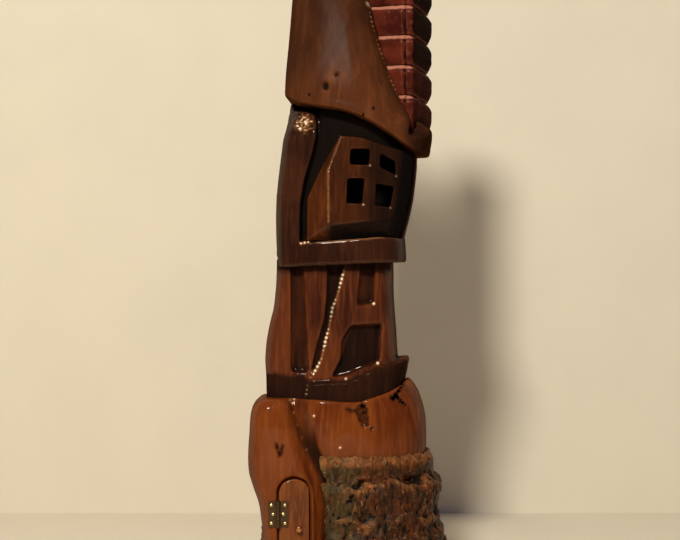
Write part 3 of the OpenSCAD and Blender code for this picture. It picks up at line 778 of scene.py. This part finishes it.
def lower_storey():
    block = Block("lower_storey", cell=0.52, reach=3.6)
    block.soften(edge=0.75, face=1.5)

    def carve(p):
        front = in_front(p, 10, 16)
        depth = tool_marks(p, 0.15, 5.5, seed=12)
        depth -= 0.55 * front * beads(p, BRACE_EDGE, *BRACE_BEADS)
        depth -= 0.5 * front * beads(p, SILL_END, *SILL_BEADS)
        depth -= 0.4 * front * dots(p, STOREY_GLINTS, 0.9)
        return depth

    block.wear(carve, reach=2.4)

    def dark_and_shade(p):
        # Recess floors and the top band under the ledge get painted shade; below the sill's rim the wood
        # is painted darker.
        dark = np.zeros(len(p), np.float32)
        for outline, strength in DARK_FLOORS:
            edge = inside_outline(p, outline) + 0.4 * ripple(p, 4.0, 14)
            dark = np.maximum(dark, strength * smooth_step(-edge, -0.3, 1.3))
        eave_shade = smooth_step(p[:, 2], 137, 142)
        rim_height = np.interp(p[:, 0], [x for x, _ in SILL_RIM], [z for _, z in SILL_RIM])
        sill = smooth_step(rim_height - p[:, 2] + 0.6 * ripple(p, 4.0, 15), -0.8, 1.6)
        return in_front(p, 8, 14) * np.maximum(np.maximum(dark, 0.8 * eave_shade), 0.8 * sill)

    def rim(p):
        # Painted highlights: pale beads on the brace and the sill's end, small dots, and a pale line along
        # the brace's edge.
        away, _ = along(p, BRACE_EDGE)
        row = np.maximum(beads(p, BRACE_EDGE, *BRACE_BEADS), beads(p, SILL_END, *SILL_BEADS))
        row = np.maximum(row, dots(p, STOREY_GLINTS, 0.9))
        row = np.maximum(row, 0.35 * smooth_step(-away, -0.8, -0.1))
        return in_front(p) * np.clip(1.3 * row, 0, 1)

    piece = block.mesh("lower_storey_carved", {"dark_and_shade": dark_and_shade, "rim": rim})
    return place(piece, HOUSE, "dark_wood", timber_wood, "lower_storey")


SHOULDER_FOOT = 196.5   # from here up the post leans back under the eave
SHOULDER_LEAN = 0.022
# Each pair is a height and the x of the post's right edge there.
POST_EDGE = [(152.3, -21.6), (168.7, -21.3), (180.0, -19.4), (192.2, -15.8), (207.4, -12.3)]
SHOULDER_GLARE = (-19.8, 204.4, 5.4)    # x, z and radius of the post's painted highlight patch
LEDGE_RIM = [(-21.3, 152.3), (-14, 152.7), (-4, 153.4), (4, 154.0), (14, 154.9), (26, 154.1)]
LEDGE_BEADS = (1.6, 0.9, 2)     # spacing, radius and seed of the raised beads at the ledge's left end, painted pale as highlights
LEDGE_GLINTS = [(-21.0, 152.0), (-19.4, 152.3), (-17.9, 152.6)]
ROOM_MIDDLE = np.array((8.8, -11.0, 180.3), np.float32)     # of the room behind the window, painted black as shade
ROOM_REACH = np.array((12.6, 15.6, 15.0), np.float32)       # from its middle to its sides


def upper_storey():
    block = Block("upper_storey", cell=0.55, reach=4.0)
    block.soften(edge=0.5, face=1.7)

    def carve(p):
        up = np.maximum(p[:, 2] - SHOULDER_FOOT, 0)
        shoulder = smooth_step(-p[:, 0], 11.5, 13.5)
        lean = SHOULDER_LEAN * up * up * in_front(p, 0, 12) * shoulder
        lumps = 0.24 * smooth_step(up, 0, 5) * ripple(p, (2.6, 2.6, 2.0), 24) * shoulder
        glints = 0.5 * in_front(p) * beads(p, LEDGE_GLINTS, *LEDGE_BEADS)
        return tool_marks(p, 0.13, 7.0, seed=22) + np.minimum(lean, 3.0) + lumps - glints

    block.wear(carve, reach=3.6)

    def dark_and_shade(p):
        # The recess right of the post gets painted shade, and the room behind the window is painted black
        # as shade.
        post = np.interp(p[:, 2], [z for z, _ in POST_EDGE], [x for _, x in POST_EDGE])
        valley = smooth_step(p[:, 0] - post + 0.4 * ripple(p, 5.0, 25), -1.6, 0.6)
        recess = 0.95 * valley * smooth_step(p[:, 2], 154.0, 156.0) * in_front(p, 2, 8)
        room = np.all(np.abs(p - ROOM_MIDDLE) < ROOM_REACH, axis=1)
        return np.maximum(recess, room)

    def rim(p):
        # Painted highlights: a pale line along the ledge's top edge, beads at its left end and a pale
        # patch on the post's shoulder.
        away, _ = along(p, LEDGE_RIM)
        glints = beads(p, LEDGE_GLINTS, *LEDGE_BEADS)
        x, z, radius = SHOULDER_GLARE
        patch = dots(p, [(x, z)], radius)
        broken = smooth_step(ripple(p, (1.3, 1.3, 0.8), 26) + 1.1 * patch, 0.35, 1.5)
        glints = np.maximum(glints, 0.9 * broken * smooth_step(patch, 0.0, 0.3))
        line = 0.4 * smooth_step(-away, -1.0, -0.3) * smooth_step(-p[:, 1], 26.4, 27.4)
        return np.maximum(line, in_front(p) * glints)

    piece = block.mesh("upper_storey_carved", {"dark_and_shade": dark_and_shade, "rim": rim})
    return place(piece, HOUSE, "dark_wood", post_wood, "upper_storey")


PANEL_EDGE = [(-3.6, 198.4), (-6.2, 191.5), (-9.2, 183.7), (-9.1, 172.0), (-9.0, 161.0)]
PANEL_BEADS = (1.5, 0.6, 6)     # spacing, radius and seed, on the panel's left ridge, painted pale as highlights
PANE_GLINTS = [         # x and z of highlights in the panes' corners, which are paint alone
    (9.0, 185.8), (6.1, 168.8), (20.4, 181.2), (17.9, 167.4),
]
# Each pair is a height of the panel's lower edge, and the x where it has it.
PANEL_FOOT = [(159.6, -12.0), (161.8, 6.8), (164.0, 21.5), (166.0, 40.0)]


def window():
    block = Block("window_panel", cell=0.38, reach=2.4)
    block.soften(edge=0.35, face=0.7)

    def carve(p):
        row = 0.2 * in_front(p, 22, 24) * beads(p, PANEL_EDGE, *PANEL_BEADS)
        return tool_marks(p, 0.10, 3.2, seed=32) - row

    block.wear(carve, reach=1.4)

    def dark_and_shade(p):
        # Painted shade: on the panel's underside, darker towards its right, and black inside the panes.
        foot = np.interp(p[:, 0], [x for _, x in PANEL_FOOT], [z for z, _ in PANEL_FOOT])
        underside = 0.93 * smooth_step(foot - p[:, 2], -0.6, 0.8) * smooth_step(p[:, 0], -11, -7)
        across = p[:, 0] + 2.5 * ripple(p, 8.0, 33)
        right = 0.35 * smooth_step(p[:, 0], -9.6, -7.6) + 0.47 * smooth_step(across, 2, 13)
        inside = smooth_step(p[:, 1], -25.2, -24.0) * smooth_step(p[:, 0], -5.0, -3.0)
        return np.maximum(np.maximum(underside, right), inside)

    def rim(p):
        # Painted highlights: a pale line and beads along the left ridge, and dots in the panes' corners.
        away, _ = along(p, PANEL_EDGE)
        line = 0.3 * smooth_step(-away + 0.3 * ripple(p, 2.0, 34), -0.7, -0.1)
        line = np.maximum(line, 0.5 * beads(p, PANEL_EDGE, *PANEL_BEADS))
        return in_front(p, 22, 24) * np.maximum(line, dots(p, PANE_GLINTS, 0.75))

    piece = block.mesh("window_carved", {"dark_and_shade": dark_and_shade, "rim": rim})
    return place(piece, HOUSE, "window_wood", window_wood, "window_panel")


# ---- the roof and the chimney --------------------------------------------------------------
ROOF_PITS = [       # x, z and radius of the pits in the roof's front
    (-10.1, 220.0, 1.1), (-5.6, 225.0, 0.4), (10.4, 210.2, 0.5), (6.0, 207.4, 0.4), (-17.4, 216.6, 0.45),
]
ROOF_GLINT = (8.6, 258.0)        # x and z of a painted highlight
VERGE_BEADS = (2.1, 0.85, 9)    # spacing, radius and seed of the raised beads on the verge, painted pale as highlights
ROOF_VERGE = [(9.0, 256.0), (10.2, 249.0), (13.2, 239.0), (16.6, 229.0), (20.0, 221.0), (22.4, 216.0)]


def roof():
    block = Block("roof", cell=0.66)
    block.soften(edge=0.6, face=2.0)

    def carve(p):
        depth = tool_marks(p, 0.13, 12.0, seed=42) + 0.25 * ripple(p, (12, 12, 30), 45)
        for x, z, radius in ROOF_PITS:
            away = np.hypot(p[:, 0] - x, (p[:, 2] - z) * 0.7) / radius + 0.3 * ripple(p, 1.2, 49)
            depth += np.where(p[:, 1] < 0, 0.9 * np.clip(1.5 - away, 0, 1), 0)
        depth -= 0.35 * in_front(p, 2, 6) * beads(p, ROOF_VERGE, *VERGE_BEADS)
        return depth

    block.wear(carve)

    def dark_and_shade(p):
        dark = np.zeros(len(p), np.float32)
        for x, z, radius in ROOF_PITS:
            away = np.hypot(p[:, 0] - x, (p[:, 2] - z) * 0.7) / radius
            dark = np.maximum(dark, smooth_step(-away, -1.7, -0.8))
        slab = 0.6 * smooth_step(p[:, 0], 22, 29)
        top = 0.42 * smooth_step(p[:, 2] + 9 * ripple(p, 16.0, 47) - 0.9 * p[:, 0], 224, 250)
        return np.where(p[:, 1] < 0, np.maximum(0.85 * dark, np.maximum(slab, top)), 0)

    def rim(p):
        # Painted highlights: pale beads along the verge and one pale spot near the top.
        row = np.maximum(0.85 * beads(p, ROOF_VERGE, *VERGE_BEADS), dots(p, [ROOF_GLINT], 2.2))
        return in_front(p, 2, 6) * row

    piece = block.mesh("roof_carved", {"dark_and_shade": dark_and_shade, "rim": rim})
    return place(piece, HOUSE, "roof_wood", roof_wood, "roof")


CHIMNEY_TURN = math.radians(-22)
JOINT_WIDE = 0.5        # half the width of the joint between two bricks
FRONT_JOINT = 8.85      # where that joint is across the chimney's front
BRICK_TILT = 0.1        # fall of the courses from the chimney's front to its back, as in the CAD
BRICK_BEVEL = 2.7       # how far a brick's head is set in from its widest


def chimney_frame():
    """The chimney's middle in plan and half its width and depth along its own sides."""
    low, high = (np.array(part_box("chimney_course_1")[k]) / MM for k in (0, 1))
    middle = (low + high) / 2
    cos, sin = math.cos(CHIMNEY_TURN), math.sin(-CHIMNEY_TURN)
    wide, deep = (high - low)[:2] / 2
    scale = cos * cos - sin * sin
    return middle[:2], (wide * cos - deep * sin) / scale, (deep * cos - wide * sin) / scale


CHIMNEY_MIDDLE, CHIMNEY_HALF_WIDE, CHIMNEY_HALF_DEEP = chimney_frame()


def chimney_sides(p):
    """Points as distances across and into the chimney, along its own sides."""
    x, y = p[:, 0] - CHIMNEY_MIDDLE[0], p[:, 1] - CHIMNEY_MIDDLE[1]
    cos, sin = math.cos(CHIMNEY_TURN), math.sin(CHIMNEY_TURN)
    return x * cos + y * sin, y * cos - x * sin


def bricks(node):
    block = Block(node, cell=0.48, reach=2.4)
    block.soften(edge=0.22, face=0.5)
    top = float(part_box(node)[1][2]) / MM

    def carve(p):
        u, v = chimney_sides(p)
        depth = 0.10 * rough(p, 2.4, 61, 3) + 0.14 * ripple(p, (6, 6, 3), 63) - 0.03
        over_front = v < -CHIMNEY_HALF_DEEP + 2.2
        depth += np.where(over_front, 0.6 * np.clip(1.6 - np.abs(u - FRONT_JOINT) / JOINT_WIDE, 0, 1), 0)
        return depth

    block.wear(carve, reach=1.4)

    def arris(p):
        """High along the upper arris of the front, which is painted pale as a highlight."""
        _, v = chimney_sides(p)
        level = p[:, 2] + BRICK_TILT * (v + CHIMNEY_HALF_DEEP - BRICK_BEVEL)
        high = smooth_step(level + 0.4 * ripple(p, 2.0, 65), top - 2.4, top - 1.6)
        return high * (0.25 + 0.75 * smooth_step(-v, CHIMNEY_HALF_DEEP - 3, CHIMNEY_HALF_DEEP - 1.5))

    def shade(p):
        """High on the right side, which gets painted shade, nearly black on the upper courses."""
        u, v = chimney_sides(p)
        shade_strength = 0.6 + 0.35 * smooth_step(p[:, 2], 228, 236)
        side = smooth_step(u, CHIMNEY_HALF_WIDE - 0.9, CHIMNEY_HALF_WIDE - 0.3)
        return shade_strength * side * smooth_step(v, -CHIMNEY_HALF_DEEP, -CHIMNEY_HALF_DEEP + 0.8)

    piece = block.mesh(node + "_worn", {"arris": arris, "shade": shade})
    return place(piece, HOUSE, "brick", brick_look, node)


# ---- the door ------------------------------------------------------------------------------
def door():
    block = Block("door", cell=0.25, reach=1.6)
    block.soften(edge=0.2, face=0.3)

    def carve(p):
        arch_lines = ripple(p, (9.0, 9.0, 1.1), 72) * smooth_step(p[:, 2], 38, 44)
        grain = 0.05 * ripple(p, (0.7, 0.7, 7.0), 71) + 0.08 * ripple(p, (2.5, 2.5, 9.0), 73)
        return grain + 0.07 * arch_lines

    block.wear(carve, reach=0.8)
    piece = block.mesh("door_carved")
    return place(piece, DOOR, "door_wood", door_wood, "door")


# ---- carried-over nodes --------------------------------------------------------------------
def dress(node, material):
    """Gives a CAD node that stays in view its material."""
    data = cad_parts[node].data
    data.materials.clear()
    data.materials.append(material)


def dress_all():
    for level in ("upper", "lower"):
        for part in ("frame_leaf", "door_leaf", "pin"):
            dress(f"hinge_{level}_{part}", bronze)
    for node in ("frame_nails", "door_nails"):
        dress(node, brass)
    dress("door_knob", copper)
    for node in ("stump_dowel", "storey_dowel", "roof_dowel", "chimney_dowel"):
        dress(node, dowel_wood)


# ---- stage, light and camera ---------------------------------------------------------------
STAGE_REACH = 1500.0
WALL_BACK = 213.0
TABLE_WHITE = (0.86, 0.785, 0.62)
WALL_WHITE = (0.78, 0.715, 0.565)
SKY_COLOR = (1.12, 1.04, 1.6, 1)
SKY_STRENGTH = 0.08
LAMP_PLACE = (-205, -900, 726)
LAMP_AIM = (0, 0, 150)
LAMP_WIDE = 150
LAMP_WATTS = 12.3
LAMP_COLOR = (1.0, 0.94, 0.84)
CAMERA_BACK = 750.0
CAMERA_SIDE = -4.05
CAMERA_UP = 140.4
MM_TO_THE_PIXEL = 0.45
IMAGE_WIDTH = 680
SENSOR = 36.0


def stage_sheet(name, corners, material):
    data = bpy.data.meshes.new(name)
    data.from_pydata([tuple(v * MM for v in c) for c in corners], [], [(0, 1, 2, 3)])
    sheet = bpy.data.objects.new(name, data)
    bpy.context.scene.collection.objects.link(sheet)
    data.materials.append(material)


def studio():
    wide, back = STAGE_REACH, WALL_BACK
    stage_sheet(
        "table",
        [(-wide, -wide, 0), (wide, -wide, 0), (wide, wide, 0), (-wide, wide, 0)],
        stage_material("table_white", TABLE_WHITE),
    )
    stage_sheet(
        "backdrop",
        [(-wide, back, 0), (wide, back, 0), (wide, back, wide), (-wide, back, wide)],
        stage_material("backdrop_white", WALL_WHITE),
    )
    world = bpy.data.worlds.new("studio")
    bpy.context.scene.world = world
    world.use_nodes = True
    sky = world.node_tree.nodes["Background"]
    sky.inputs["Color"].default_value = SKY_COLOR
    sky.inputs["Strength"].default_value = SKY_STRENGTH
    lamp()
    bpy.context.scene.view_settings.view_transform = "Standard"


def lamp():
    light = bpy.data.lights.new("key", "AREA")
    light.shape = "DISK"
    light.size = LAMP_WIDE * MM
    light.energy = LAMP_WATTS
    light.color = LAMP_COLOR
    holder = bpy.data.objects.new("key", light)
    holder.location = Vector(LAMP_PLACE) * MM
    aim = Vector(LAMP_AIM) * MM - holder.location
    holder.rotation_euler = aim.to_track_quat("-Z", "Y").to_euler()
    bpy.context.scene.collection.objects.link(holder)


def camera():
    data = bpy.data.cameras.new("photo_camera")
    data.sensor_width = SENSOR
    data.lens = SENSOR * (CAMERA_BACK / MM_TO_THE_PIXEL) / IMAGE_WIDTH
    data.clip_start = 0.01
    holder = bpy.data.objects.new("photo_camera", data)
    holder.location = Vector((CAMERA_SIDE, -CAMERA_BACK, CAMERA_UP)) * MM
    holder.rotation_euler = (math.radians(90), 0, 0)
    bpy.context.scene.collection.objects.link(holder)
    bpy.context.scene.camera = holder


camera()
studio()
stump()
bark()
lower_storey()
upper_storey()
window()
roof()
for course in range(1, 7):
    bricks(f"chimney_course_{course}")
bricks("chimney_cap")
door()
dress_all()
